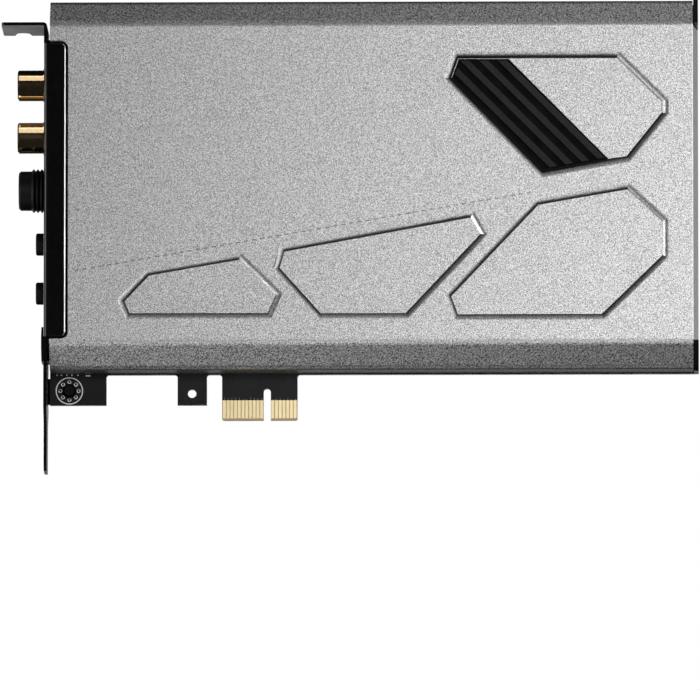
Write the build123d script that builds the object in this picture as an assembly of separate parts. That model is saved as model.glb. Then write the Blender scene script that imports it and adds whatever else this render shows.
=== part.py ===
from build123d import *
import math
import os

# A sound card for a PCI-Express x1 slot, in millimetres.
# The origin is the middle of the key slot on the bottom edge of the contact tongue,
# halfway through the board. X runs along the card away from the slot bracket,
# Y from the component side to the solder side, and Z up the card.
# Names that end in SHARE or SHARES are parts of the cover's length and height.

# Main sizes: the cover sets the length, height and depth of the card
COVER_L = 172.7
COVER_H = 99.85
COVER_LEFT = -58.2
COVER_BOTTOM = 12.7
COVER_FRONT = -14.9
COVER_T = 1.0
COVER_RIGHT = COVER_LEFT + COVER_L
COVER_TOP = COVER_BOTTOM + COVER_H

# Circuit board, a little longer and lower than the cover
BOARD_T = 1.57
BOARD_LEFT = COVER_LEFT - 0.2
BOARD_RIGHT = COVER_RIGHT + 1.1
BOARD_BOTTOM = COVER_BOTTOM - 0.3
BOARD_TOP = COVER_TOP - COVER_T - 0.2
BOARD_CORNER = 0.8
FOOT_W = 15.2
FOOT_BOTTOM = 4.2
LUG_LEFT, LUG_RIGHT = -24.1, -16.2
LUG_BOTTOM = FOOT_BOTTOM
LUG_HOLE = (-20.2, 7.3)
LUG_HOLE_R = 1.15
TONGUE_LEFT, TONGUE_RIGHT = -12.15, 8.15
TONGUE_BEVEL = 0.35
KEY_W = 1.9
KEY_TOP = 8.6

# Edge contacts
PAD_PITCH = 1.0
PAD_W = 0.76
PAD_T = 0.05
PAD_BOTTOM, PAD_TOP = 0.6, 5.45
PADS_LEFT, PADS_RIGHT = 11, 7
PAD_FIRST = 1.5

# Slot bracket, a folded steel sheet; its height runs from the tail to the seat of the tab
SHEET_T = 0.86
PLATE_INNER = COVER_LEFT - 0.7
PLATE_OUTER = PLATE_INNER - SHEET_T
PLATE_FRONT = COVER_FRONT - 0.2
PLATE_BACK = 3.32
PLATE_TOP_SHARE = 0.9364
PLATE_TOP = COVER_BOTTOM + PLATE_TOP_SHARE * COVER_H
PLATE_H = 120.02
PLATE_BOTTOM = PLATE_TOP - SHEET_T - PLATE_H
TAB_REACH = 11.43
TAB_BACK = 3.95
TAB_CORNER = 1.0
TAB_NOTCH_OUT = 6.04
TAB_NOTCH_W, TAB_NOTCH_MOUTH = 3.6, 4.9
TAB_NOTCH_DEPTH = 4.7
TAIL_W = 10.19
TAIL_TOP = -2.0
TAIL_CORNER = 1.0
BEND_OUT = 1.1
FLANGE_W = 5.86
FLANGE_SHARES = (0.0836, 0.8803)
FLANGE_CORNER = 1.4
FLANGE_EDGE = 0.3
EAR_W = 7.0
EAR_REACH = 9.3
EAR_SCREW_OUT = 5.7
EAR_SCREW_LOW = 8.1
EAR_SCREW_DOWN = 6.0

# Cover, a bent and pressed sheet
COVER_BACK = -1.0
BEVEL_H, BEVEL_D = 6.6, 5.5
COVER_BEND = 2.8
FLAP_LEAN = 1.4
FLAP_BACK = -1.6
FLAP_INSET = 7.3
FLAP_ROOT = 3.0
CUTOUT_GAP = 0.4
CUTOUT_CORNER = 1.8
CUTOUT_EDGE = 0.25
POCKET_DEPTH = 1.0
DEEP_POCKET_DEPTH = 1.4
PRESS_ANGLE = 30
SHOULDER_R = 1.9
POCKET_SHARES = (
    (
        (0.1532, 0.2544),
        (0.2960, 0.2974),
        (0.3553, 0.1964),
        (0.3412, 0.1410),
        (0.1224, 0.1410),
        (0.1127, 0.1803),
    ),
    (
        (0.3627, 0.3180),
        (0.6563, 0.4106),
        (0.6735, 0.3586),
        (0.5548, 0.1400),
        (0.4201, 0.1400),
        (0.3542, 0.2673),
    ),
    (
        (0.7582, 0.4439),
        (0.8991, 0.4858),
        (0.9555, 0.3952),
        (0.9555, 0.2987),
        (0.8594, 0.1365),
        (0.6323, 0.1365),
        (0.6205, 0.1921),
    ),
)
DEEP_POCKET_SHARES = (
    (0.6323, 0.8450),
    (0.8838, 0.8450),
    (0.9560, 0.7210),
    (0.9560, 0.6855),
    (0.8993, 0.5633),
    (0.7661, 0.5220),
    (0.6193, 0.7823),
)

# End cap
CAP_GAP = 0.15
CAP_WEB = 1.2
CAP_WEB_IN = 2.0
CAP_PROUD = 0.45
CAP_RIGHT = COVER_RIGHT + 1.45
CAP_BLOCK = 7.0

# Light window
WINDOW_SHARES = (
    (0.6361, 0.8358),
    (0.7137, 0.8358),
    (0.8689, 0.5633),
    (0.7680, 0.5320),
    (0.6255, 0.7846),
)
WINDOW_GAP = 0.1
WINDOW_LIP = 1.0
WINDOW_LIP_T = 0.8
WINDOW_SKIRT = 2.4
RIBS = 4
RIB_FIRST = 2.12
RIB_PITCH = 3.58
RIB_W = 1.68
RIB_PROUD = 0.3
RIB_MARGIN = 0.5
GROOVE_SUNK = 0.6
LIGHT_BOARD_T = 1.0
DIODES = 5
DIODE = (2.0, 0.8, 2.0)

# Sockets, all on one line above the board and standing out of the bracket's outer face
SOCKET_Y = -7.5
BODY_GAP = 0.3
HOLE_GAP = 0.25
FIT = 0.03
PHONO_SHARES = (0.7742, 0.6314)
PHONO_OUT = 7.19
PHONO_R = 4.15
PHONO_WALL = 0.7
PHONO_EDGE = 0.35
PHONO_COLLAR_R = 4.45
PHONO_COLLAR_L = 0.3
PHONO_PIN_R = 1.6
PHONO_PIN_WALL = 0.5
PHONO_PIN_DEPTH = 1.6
PHONO_PIN_BACK = 6.0
PHONO_SEAT = 2.0
PHONO_BLOCK_L = 12.6
PHONO_BLOCK_H = 11.6
PHONO_BLOCK_REACH = 6.2
PHONO_BLOCK_R = 1.0
INSULATOR_SUNK = 0.6
INSULATOR_LIP = 0.15
HEADPHONE_SHARE = 0.4877
HEADPHONE_OUT = 6.84
HEADPHONE_R = 5.3
HEADPHONE_EDGE = 0.5
HEADPHONE_RIDGE_R = 5.95
HEADPHONE_BORE_R = 3.2
HEADPHONE_BODY = (20.6, 12.2, 12.6)
HEADPHONE_LEAVES = 4
RIDGE_PITCH = 1.1
RIDGES = 3
SMALL_SHARES = {"line": 0.3425, "mic": 0.2093}
SMALL_OUT = 2.24
SMALL_R = 3.0
SMALL_EDGE = 0.3
SMALL_BORE_R = 1.78
SMALL_BODY = (12.2, 10.6, 10.8)
SMALL_LEAVES = 3
JACK_R = 0.8
BORE_END = 1.5
SLEEVE_WALL = 0.35
SLEEVE_SUNK = 0.1
SLEEVE_L = 6.0
SMALL_SLEEVE_L = 3.5
LEAF_T = 0.4
LEAF_W = 1.4
LEAF_IN = 3.0
OPTICAL_SHARE = 0.0711
OPTICAL_OUT = 0.74
OPTICAL_BODY = (14.4, 10.9, 9.2)
OPTICAL_BODY_CORNER = 3.2
OPTICAL_MOUTH = 8.2
OPTICAL_DEPTH = 9.0
OPTICAL_CORNER = 2.0
EMITTER_R = 1.6
EMITTER_EDGE = 0.5
EMITTER_L = 3.0
EMITTER_PROUD = 1.0

# Fasteners: radius of the shank, of the head and of its top, and height of the head;
# the recess has its width and length per head radius and its depth per head height
COVER_SCREW = (1.25, 2.35, 1.65, 1.5)
EAR_SCREW = (1.0, 1.8, 1.3, 1.15)
SCREW_GAP = 0.2
RECESS = (0.26, 1.1, 0.53)
STANDOFF_R = 2.3
STANDOFF_HOLE_L = 8.0
STANDOFF_SHARES = ((0.1027, 0.1045), (0.953, 0.1045), (0.1027, 0.888), (0.953, 0.888))

# Parts on the board: shares to their middles; width, height off the board and depth
CHIP_SHARES = {
    "audio_processor": (0.512, 0.354),
    "bus_bridge_chip": (0.326, 0.123),
    "playback_converter": (0.199, 0.404),
    "record_converter": (0.164, 0.324),
    "headphone_amplifier": (0.158, 0.474),
}
CHIPS = {
    "audio_processor": (14.0, 1.4, 14.0),
    "bus_bridge_chip": (10.0, 0.9, 10.0),
    "playback_converter": (7.0, 1.1, 7.0),
    "record_converter": (7.0, 1.1, 7.0),
    "headphone_amplifier": (5.0, 1.0, 5.0),
}
OSCILLATOR_SHARES = ((0.419, 0.394), (0.419, 0.303))
OSCILLATOR = (7.0, 1.8, 5.0)
INDUCTOR_SHARES = ((0.698, 0.700), (0.756, 0.700), (0.814, 0.700), (0.872, 0.700))
INDUCTOR = (7.0, 4.0, 7.0)
REGULATOR_SHARES = ((0.686, 0.233), (0.756, 0.233), (0.825, 0.233))
REGULATOR = (6.5, 2.3, 6.1)
RELAY_SHARES = ((0.129, 0.806), (0.129, 0.710), (0.129, 0.615))
RELAY = (10.6, 9.0, 7.4)
FILM_SHARES = tuple((u, v) for u in (0.187, 0.225) for v in (0.816, 0.725, 0.635, 0.544))
FILM = (4.5, 9.5, 7.2)
CAN_SHARES = tuple((u, v) for u in (0.285, 0.349, 0.413) for v in (0.826, 0.715))
CAN_SHARES += tuple((u, 0.394) for u in (0.698, 0.767, 0.837, 0.907))
CAN_R = 4.0
CAN_H = 10.5
OP_AMP_SHARES = ((0.303, 0.554), (0.390, 0.554), (0.477, 0.554))
SOCKET_STRIP = (10.2, 4.2, 2.6)
ROW_SPACING = 7.62
OP_AMP = (9.6, 3.3, 6.3)
LEG_PITCH = 2.54
LEG_W = 1.2
LEG_H = 1.9
LEG_OUT = 0.25
CHIP_EDGE = 0.3

FACE = -BOARD_T / 2
BACK = BOARD_T / 2
BODY_LEFT = PLATE_INNER + BODY_GAP
INSIDE = COVER_FRONT + COVER_T
FLANGE_RIGHT = PLATE_OUTER + FLANGE_W
FLANGE_BOTTOM, FLANGE_TOP = [COVER_BOTTOM + share * COVER_H for share in FLANGE_SHARES]
EAR_SCREWS = tuple(
    (PLATE_INNER + EAR_SCREW_OUT, z) for z in (EAR_SCREW_LOW, PLATE_TOP - EAR_SCREW_DOWN)
)
PHONO_Z = [COVER_BOTTOM + share * COVER_H for share in PHONO_SHARES]
HEADPHONE_Z = COVER_BOTTOM + HEADPHONE_SHARE * COVER_H
SMALL_Z = {name: COVER_BOTTOM + share * COVER_H for name, share in SMALL_SHARES.items()}
OPTICAL_Z = COVER_BOTTOM + OPTICAL_SHARE * COVER_H
PHONO_BLOCK = (PHONO_BLOCK_L, PHONO_BLOCK_H, PHONO_Z[0] - PHONO_Z[1] + 2 * PHONO_BLOCK_REACH)
PHONO_TIP = PLATE_OUTER - PHONO_OUT
HEADPHONE_TIP = PLATE_OUTER - HEADPHONE_OUT
SMALL_TIP = PLATE_OUTER - SMALL_OUT
OPTICAL_TIP = PLATE_OUTER - OPTICAL_OUT


def place(share):
    """A place across and up the card from shares of the cover's length and height."""
    return (COVER_LEFT + share[0] * COVER_L, COVER_BOTTOM + share[1] * COVER_H)


def places(shares):
    return [place(share) for share in shares]


STANDOFFS = places(STANDOFF_SHARES)
WINDOW = places(WINDOW_SHARES)


def block(x, y, z):
    """A box between pairs of limits."""
    spans = (x, y, z)
    middle = [(low + high) / 2 for low, high in spans]
    return Pos(*middle) * Box(*[high - low for low, high in spans])


def about(at, width):
    """The pair of limits of a width about its middle."""
    return (at - width / 2, at + width / 2)


def prism(points, y_front, y_back):
    """A flat outline given across and up the card, as deep as two Y limits."""
    face = make_face(Polyline(*points, close=True))
    return extrude(Plane.XZ.offset(-y_back) * face, y_back - y_front)


def grown(points, by):
    """The outline of a many-sided shape moved outwards by a distance."""
    face = make_face(Polyline(*points, close=True))
    return offset(face, by, kind=Kind.INTERSECTION) if by else face


def layer(face, y_front, y_back):
    return extrude(Plane.XZ.offset(-y_back) * face, y_back - y_front)


def tapered(face, y_front, depth, angle):
    """A pocket with sloping walls, from an outline on its rim."""
    rim = Plane((0, y_front, 0), x_dir=(1, 0, 0), z_dir=(0, -1, 0)) * face
    return extrude(rim, -depth, taper=angle)


def turned_x(points, z):
    """A solid turned about a socket's axis from (x, radius) points."""
    face = make_face(Polyline(*points, close=True))
    return Pos(0, SOCKET_Y, z) * revolve(face, Axis.X)


def rod_x(x_low, x_high, radius, z):
    return turned_x(((x_low, 0), (x_high, 0), (x_high, radius), (x_low, radius)), z)


def rod_y(at, y_low, y_high, radius):
    tilt = Pos(at[0], (y_low + y_high) / 2, at[1]) * Rot(90, 0, 0)
    return tilt * Cylinder(radius, y_high - y_low)


def on_board(at, size):
    """A block that stands on the component side of the board."""
    width, height, depth = size
    return block(about(at[0], width), (FACE - height, FACE), about(at[1], depth))


def group(solids):
    return Compound(children=[solid for item in solids for solid in item.solids()])


# Circuit board: routed outline, key slot, bevelled tongue and holes
def circuit_board():
    foot_right = BOARD_LEFT + FOOT_W
    outline = (
        (BOARD_LEFT, FOOT_BOTTOM),
        (foot_right, FOOT_BOTTOM),
        (foot_right, BOARD_BOTTOM),
        (LUG_LEFT, BOARD_BOTTOM),
        (LUG_LEFT, LUG_BOTTOM),
        (LUG_RIGHT, LUG_BOTTOM),
        (LUG_RIGHT, BOARD_BOTTOM),
        (TONGUE_LEFT, BOARD_BOTTOM),
        (TONGUE_LEFT, 0),
        (TONGUE_RIGHT, 0),
        (TONGUE_RIGHT, BOARD_BOTTOM),
        (BOARD_RIGHT, BOARD_BOTTOM),
        (BOARD_RIGHT, BOARD_TOP),
        (BOARD_LEFT, BOARD_TOP),
    )
    board = prism(outline, FACE, BACK)
    corners = [
        edge
        for edge in board.edges().filter_by(Axis.Y)
        if abs(edge.center().Z - BOARD_BOTTOM) < 0.01 or edge.center().Z > BOARD_TOP - 1
    ]
    board = fillet(corners, BOARD_CORNER)
    tips = [edge for edge in board.edges().filter_by(Axis.Y) if edge.center().Z < 0.01]
    board = chamfer(tips, TONGUE_BEVEL)
    ends = [
        edge
        for edge in board.edges().filter_by(Axis.X)
        if edge.center().Z < 0.01 and edge.length > 1
    ]
    board = chamfer(ends, TONGUE_BEVEL)
    key_r = KEY_W / 2
    through = (FACE - 1, BACK + 1)
    board -= block((-key_r, key_r), through, (-1, KEY_TOP - key_r))
    board -= rod_y((0, KEY_TOP - key_r), *through, key_r)
    board -= rod_y(LUG_HOLE, *through, LUG_HOLE_R)
    for sizes, spots in ((EAR_SCREW, EAR_SCREWS), (COVER_SCREW, STANDOFFS)):
        for at in spots:
            board -= rod_y(at, *through, sizes[0] + SCREW_GAP)
    return board


def edge_contacts(y_low):
    middles = [-PAD_FIRST - PAD_PITCH * i for i in range(PADS_LEFT)]
    middles += [PAD_FIRST + PAD_PITCH * i for i in range(PADS_RIGHT)]
    depth = (y_low, y_low + PAD_T)
    return group(block(about(x, PAD_W), depth, (PAD_BOTTOM, PAD_TOP)) for x in middles)


# Slot bracket: plate and tail, tab, front flange and two ears folded from one sheet
def bracket():
    middle = (PLATE_FRONT + PLATE_BACK) / 2
    tail = about(middle, TAIL_W)
    slope = tail[0] - PLATE_FRONT
    side = (
        (PLATE_FRONT, PLATE_TOP),
        (PLATE_FRONT, TAIL_TOP + slope),
        (tail[0], TAIL_TOP),
        (tail[0], PLATE_BOTTOM + TAIL_CORNER),
        (tail[0] + TAIL_CORNER, PLATE_BOTTOM),
        (tail[1] - TAIL_CORNER, PLATE_BOTTOM),
        (tail[1], PLATE_BOTTOM + TAIL_CORNER),
        (tail[1], TAIL_TOP),
        (PLATE_BACK, TAIL_TOP + slope),
        (PLATE_BACK, PLATE_TOP),
    )
    plate = extrude(
        Plane.YZ.offset(PLATE_OUTER) * make_face(Polyline(*side, close=True)), SHEET_T
    )
    tab_z = (PLATE_TOP - SHEET_T, PLATE_TOP)
    tab = block((PLATE_OUTER - TAB_REACH, PLATE_INNER), (PLATE_FRONT, TAB_BACK), tab_z)
    outer_corners = tab.edges().filter_by(Axis.Z).group_by(Axis.X)[0]
    tab = fillet(outer_corners, TAB_CORNER)
    notch_x = PLATE_OUTER - TAB_NOTCH_OUT
    notch_base = TAB_BACK - TAB_NOTCH_DEPTH
    half, mouth = TAB_NOTCH_W / 2, TAB_NOTCH_MOUTH / 2
    notch = make_face(
        Polyline(
            (notch_x - mouth, TAB_BACK + 1),
            (notch_x - half, notch_base + half),
            (notch_x + half, notch_base + half),
            (notch_x + mouth, TAB_BACK + 1),
            close=True,
        )
    )
    notch += Pos(notch_x, notch_base + half) * Circle(half)
    tab -= extrude(Plane.XY.offset(PLATE_TOP - 2 * SHEET_T) * notch, 4 * SHEET_T)
    flange = block(
        (PLATE_OUTER, FLANGE_RIGHT),
        (PLATE_FRONT, PLATE_FRONT + SHEET_T),
        (FLANGE_BOTTOM, FLANGE_TOP),
    )
    free = flange.edges().filter_by(Axis.Y).group_by(Axis.X)[-1]
    flange = fillet(free, FLANGE_CORNER)
    brim = flange.faces().sort_by(Axis.Y)[0].edges()
    flange = chamfer([edge for edge in brim if edge.center().X > PLATE_INNER], FLANGE_EDGE)
    sheet = plate + tab + flange
    ear_bottoms = [z - EAR_W / 2 for x, z in EAR_SCREWS]
    ear_back = BACK + SHEET_T
    for low in ear_bottoms:
        reach = (low, low + EAR_W)
        relief = (reach[0] - SHEET_T, reach[1] + SHEET_T)
        sheet -= block((PLATE_OUTER - 1, PLATE_INNER + 1), (ear_back, PLATE_BACK + 1), relief)
        ear = block((PLATE_OUTER, PLATE_INNER + EAR_REACH), (BACK, ear_back), reach)
        ear = fillet(ear.edges().filter_by(Axis.Y).group_by(Axis.X)[-1], FLANGE_CORNER)
        sheet += ear
    through = (PLATE_OUTER - 1, PLATE_INNER + HOLE_GAP)
    for hole_z in PHONO_Z:
        sheet -= rod_x(*through, PHONO_COLLAR_R + HOLE_GAP, hole_z)
    sheet -= rod_x(*through, HEADPHONE_RIDGE_R + HOLE_GAP, HEADPHONE_Z)
    for hole_z in SMALL_Z.values():
        sheet -= rod_x(*through, SMALL_R + 2 * HOLE_GAP, hole_z)
    length, height, width = OPTICAL_BODY
    port_y = (FACE - height - HOLE_GAP, FACE + HOLE_GAP)
    sheet -= block(through, port_y, about(OPTICAL_Z, width + 2 * HOLE_GAP))
    for at in EAR_SCREWS:
        sheet -= rod_y(at, 0, BACK + 2 * SHEET_T, EAR_SCREW[0] + FIT)

    waste = Pos(BEND_OUT / 2, BEND_OUT / 2) * Rectangle(BEND_OUT, BEND_OUT)
    waste -= Pos(BEND_OUT, BEND_OUT) * Circle(BEND_OUT)
    top = Plane.XZ.offset(-TAB_BACK) * Pos(PLATE_INNER, PLATE_TOP) * Rot(0, 0, 180)
    sheet -= extrude(top * waste, TAB_BACK - PLATE_FRONT)
    front = Plane.XY.offset(FLANGE_BOTTOM) * Pos(PLATE_OUTER, PLATE_FRONT)
    sheet -= extrude(front * waste, FLANGE_TOP - FLANGE_BOTTOM)
    for low in ear_bottoms:
        fold = Plane.XY.offset(low) * Pos(PLATE_OUTER, ear_back) * Rot(0, 0, -90)
        sheet -= extrude(fold * waste, EAR_W)
    return sheet


# Cover: bent sheet, pressed pockets, window, cut-out and slanted end flap
def cover_outline(back, inset=0.0):
    low, high = COVER_BOTTOM, COVER_TOP
    points = (
        (back, low),
        (COVER_FRONT + BEVEL_D, low),
        (COVER_FRONT, low + BEVEL_H),
        (COVER_FRONT, high - BEVEL_H),
        (COVER_FRONT + BEVEL_D, high),
        (back, high),
    )
    path = FilletPolyline(*points, radius=COVER_BEND)
    face = make_face([path, Line(points[-1], points[0])])
    return offset(face, -inset) if inset else face


def length_of(face, x_low, x_high):
    return extrude(Plane.YZ.offset(x_low) * face, x_high - x_low)


def shroud():
    body = length_of(cover_outline(COVER_BACK), COVER_LEFT, COVER_RIGHT)
    behind = BACK + COVER_T
    hollow = length_of(cover_outline(behind, COVER_T), COVER_LEFT - 1, COVER_RIGHT + 1)
    lean = math.radians(PRESS_ANGLE)
    spread = COVER_T * (1 - math.sin(lean)) / math.cos(lean)
    pressed = [(shares, POCKET_DEPTH) for shares in POCKET_SHARES]
    pressed.append((DEEP_POCKET_SHARES, DEEP_POCKET_DEPTH))
    for shares, depth in pressed:
        body -= tapered(grown(places(shares), 0), COVER_FRONT, depth, PRESS_ANGLE)
        hollow -= tapered(grown(places(shares), spread), INSIDE, depth, PRESS_ANGLE)
    border = BEVEL_H + COVER_BEND
    rims = [
        edge
        for edge in body.edges()
        if abs(edge.center().Y - COVER_FRONT) < 0.001
        and COVER_LEFT + 1 < edge.center().X < COVER_RIGHT - 1
        and COVER_BOTTOM + border < edge.center().Z < COVER_TOP - border
    ]
    body = fillet(rims, SHOULDER_R)
    body -= hollow
    root = COVER_RIGHT - FLAP_ROOT
    flap = (
        (root, COVER_FRONT),
        (COVER_RIGHT, COVER_FRONT),
        (COVER_RIGHT + FLAP_LEAN, FLAP_BACK),
        (COVER_RIGHT + FLAP_LEAN - COVER_T, FLAP_BACK),
        (COVER_RIGHT - COVER_T, INSIDE),
        (root, INSIDE),
    )
    flap_face = make_face(Polyline(*flap, close=True))
    body += extrude(Plane.XY.offset(COVER_BOTTOM + FLAP_INSET) * flap_face, COVER_H - 2 * FLAP_INSET)
    along = (COVER_LEFT - 2 * CUTOUT_CORNER, FLANGE_RIGHT + 1.5 * CUTOUT_GAP)
    up = (FLANGE_BOTTOM - CUTOUT_GAP, FLANGE_TOP + CUTOUT_GAP)
    middle = Pos((along[0] + along[1]) / 2, (up[0] + up[1]) / 2)
    cut = middle * RectangleRounded(along[1] - along[0], up[1] - up[0], CUTOUT_CORNER)
    body -= layer(cut, COVER_FRONT - 1, INSIDE + CUTOUT_GAP)
    body -= tapered(offset(cut, CUTOUT_EDGE), COVER_FRONT, CUTOUT_EDGE, 45)
    return body - prism(WINDOW, COVER_FRONT, INSIDE + 2 * DEEP_POCKET_DEPTH)


# End cap: a web inside the cover with two blocks that fill the open corners
def end_cap():
    behind = BACK + COVER_T
    inner = offset(cover_outline(behind, COVER_T), -CAP_GAP)
    outer = offset(cover_outline(behind), CAP_PROUD)
    web_left = COVER_RIGHT - CAP_WEB_IN - CAP_WEB
    shoulder = COVER_RIGHT + CAP_GAP
    blocks = length_of(inner, web_left, shoulder) + length_of(outer, shoulder, CAP_RIGHT)
    along = (web_left - 1, CAP_RIGHT + 1)
    open_z = (COVER_BOTTOM + CAP_BLOCK, COVER_TOP - CAP_BLOCK)
    blocks -= block(along, (COVER_FRONT - 2, behind + 2), open_z)
    cap = length_of(inner, web_left, web_left + CAP_WEB) + blocks
    whole_z = (COVER_BOTTOM - 2, COVER_TOP + 2)
    return cap - block(along, (FACE, behind + 2), whole_z)


# Light window: ribbed panel with a lip and skirt behind the pocket floor
def light_window():
    floor = COVER_FRONT + DEEP_POCKET_DEPTH
    under = floor + COVER_T
    lip_back = under + WINDOW_LIP_T
    clear = grown(WINDOW, -WINDOW_GAP)
    wide = grown(WINDOW, WINDOW_LIP)
    window = layer(clear, floor + GROOVE_SUNK, under) + layer(wide, under, lip_back)
    window += layer(wide - grown(WINDOW, 0), lip_back, lip_back + WINDOW_SKIRT)
    limit = layer(grown(WINDOW, -RIB_MARGIN), floor - RIB_PROUD, under)
    corner = WINDOW[-1]
    height = under - floor + RIB_PROUD
    turn = Pos(corner[0], under - height / 2, corner[1]) * Rot(0, 45, 0)
    bar = Box(COVER_H, height, RIB_W)
    for i in range(RIBS):
        window += (turn * Pos(0, 0, RIB_FIRST + i * RIB_PITCH) * bar) & limit
    return window


def light_board_limits():
    back = COVER_FRONT + DEEP_POCKET_DEPTH + COVER_T + WINDOW_LIP_T + WINDOW_SKIRT
    return back, back + LIGHT_BOARD_T


def light_board():
    return layer(grown(WINDOW, WINDOW_LIP), *light_board_limits())


def light_diodes():
    front = light_board_limits()[0]
    width, height, depth = DIODE
    start, end = [(Vector(*WINDOW[i]) + Vector(*WINDOW[j])) / 2 for i, j in ((0, 4), (2, 3))]
    solids = []
    for i in range(DIODES):
        at = start + (end - start) * ((i + 1) / (DIODES + 1))
        solids.append(block(about(at.X, width), (front - height, front), about(at.Y, depth)))
    return group(solids)


# Phono sockets: block on the board, gold shells, insulators and centre contacts
def body_block(size, z):
    length, height, width = size
    return block((BODY_LEFT, BODY_LEFT + length), (FACE - height, FACE), about(z, width))


def phono_block():
    body = body_block(PHONO_BLOCK, sum(PHONO_Z) / 2)
    body = fillet(body.edges().filter_by(Axis.X).group_by(Axis.Y)[0], PHONO_BLOCK_R)
    root = BODY_LEFT + PHONO_SEAT
    for z in PHONO_Z:
        body -= rod_x(BODY_LEFT - 1, root, PHONO_COLLAR_R + FIT, z)
        body -= rod_x(BODY_LEFT, root + PHONO_PIN_BACK, PHONO_PIN_R + PHONO_PIN_WALL + FIT, z)
    return body


def phono_shell(z):
    root = BODY_LEFT + PHONO_SEAT
    inner = PHONO_R - PHONO_WALL
    collar = PLATE_OUTER - PHONO_COLLAR_L
    tube = (
        (PHONO_TIP, inner),
        (PHONO_TIP, PHONO_R - PHONO_EDGE),
        (PHONO_TIP + PHONO_EDGE, PHONO_R),
        (collar, PHONO_R),
        (collar, PHONO_COLLAR_R),
        (root, PHONO_COLLAR_R),
        (root, inner),
    )
    return turned_x(tube, z)


def phono_insulator(z):
    root = BODY_LEFT + PHONO_SEAT
    front = PHONO_TIP + INSULATOR_SUNK
    step = PHONO_TIP + PHONO_PIN_DEPTH
    outer = PHONO_R - PHONO_WALL - FIT
    lip = PHONO_PIN_R + INSULATOR_LIP
    seat = PHONO_PIN_R + PHONO_PIN_WALL + FIT
    tube = ((front, lip), (front, outer), (root, outer), (root, seat), (step, seat), (step, lip))
    return turned_x(tube, z)


def phono_contact(z):
    outer = PHONO_PIN_R + PHONO_PIN_WALL
    front, back = PHONO_TIP + PHONO_PIN_DEPTH, BODY_LEFT + PHONO_SEAT + PHONO_PIN_BACK
    tube = ((front, PHONO_PIN_R), (front, outer), (back, outer), (back, PHONO_PIN_R))
    return turned_x(tube, z)


# Jacks: body, barrel and bore in one moulding, a metal sleeve and leaf contacts
def leaves_of(size, bore_r, z, count):
    first = BODY_LEFT + LEAF_IN
    step = (size[0] - 2 * LEAF_IN) / (count - 1)
    depth = (SOCKET_Y + bore_r, FACE)
    across = about(z, LEAF_W)
    return group(block(about(first + step * i, LEAF_T), depth, across) for i in range(count))


def jack(size, barrel, bore_r, sleeve_l, z):
    tip = barrel[0][0]
    far = BODY_LEFT + size[0]
    body = body_block(size, z)
    body = fillet(body.edges().filter_by(Axis.X).group_by(Axis.Y)[0], JACK_R)
    body += turned_x(barrel, z)
    body -= rod_x(tip - 1, far - BORE_END, bore_r, z)
    body -= rod_x(tip - 1, tip + sleeve_l, bore_r + SLEEVE_WALL + FIT, z)
    slot = (BODY_LEFT + LEAF_IN - LEAF_T, far - LEAF_IN + LEAF_T)
    return body - block(slot, (SOCKET_Y, FACE + 1), about(z, LEAF_W + 2 * FIT))


def sleeve(tip, bore_r, sleeve_l, z):
    outer = bore_r + SLEEVE_WALL
    front, back = tip + SLEEVE_SUNK, tip + sleeve_l
    return turned_x(((front, bore_r), (front, outer), (back, outer), (back, bore_r)), z)


def headphone_barrel():
    tip, root = HEADPHONE_TIP, BODY_LEFT + 1
    points = [(tip, 0), (tip, HEADPHONE_R - HEADPHONE_EDGE), (tip + HEADPHONE_EDGE, HEADPHONE_R)]
    first = PLATE_OUTER - RIDGE_PITCH * (RIDGES + 0.1)
    for i in range(RIDGES):
        base = first + RIDGE_PITCH * i
        points += [(base, HEADPHONE_R), (base + RIDGE_PITCH / 2, HEADPHONE_RIDGE_R)]
    points.append((first + RIDGE_PITCH * RIDGES, HEADPHONE_R))
    return [*points, (root, HEADPHONE_R), (root, 0)]


def small_barrel():
    tip, root = SMALL_TIP, BODY_LEFT + 1
    return [
        (tip, 0),
        (tip, SMALL_R - SMALL_EDGE),
        (tip + SMALL_EDGE, SMALL_R),
        (root, SMALL_R),
        (root, 0),
    ]


# Optical port: moulding with a square mouth, two corners cut, and its emitter
def optical_port():
    length, height, width = OPTICAL_BODY
    along = (OPTICAL_TIP, OPTICAL_TIP + length)
    body = block(along, (FACE - height, FACE), about(OPTICAL_Z, width))
    body = chamfer(body.edges().filter_by(Axis.X).group_by(Axis.Y)[0], OPTICAL_BODY_CORNER)
    middle = FACE - height / 2
    floor = OPTICAL_TIP + OPTICAL_DEPTH
    mouth = block(
        (OPTICAL_TIP - 1, floor), about(middle, OPTICAL_MOUTH), about(OPTICAL_Z, OPTICAL_MOUTH)
    )
    mouth = chamfer(mouth.edges().filter_by(Axis.X).group_by(Axis.Y)[0], OPTICAL_CORNER)
    hole = rod_x(OPTICAL_TIP, floor + EMITTER_L - EMITTER_PROUD, EMITTER_R + FIT, OPTICAL_Z)
    return body - mouth - Pos(0, middle - SOCKET_Y, 0) * hole


def optical_emitter():
    middle = FACE - OPTICAL_BODY[1] / 2
    front = OPTICAL_TIP + OPTICAL_DEPTH - EMITTER_PROUD
    back = front + EMITTER_L
    points = (
        (front, 0),
        (front, EMITTER_R - EMITTER_EDGE),
        (front + EMITTER_EDGE, EMITTER_R),
        (back, EMITTER_R),
        (back, 0),
    )
    return Pos(0, middle - SOCKET_Y, 0) * turned_x(points, OPTICAL_Z)


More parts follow.
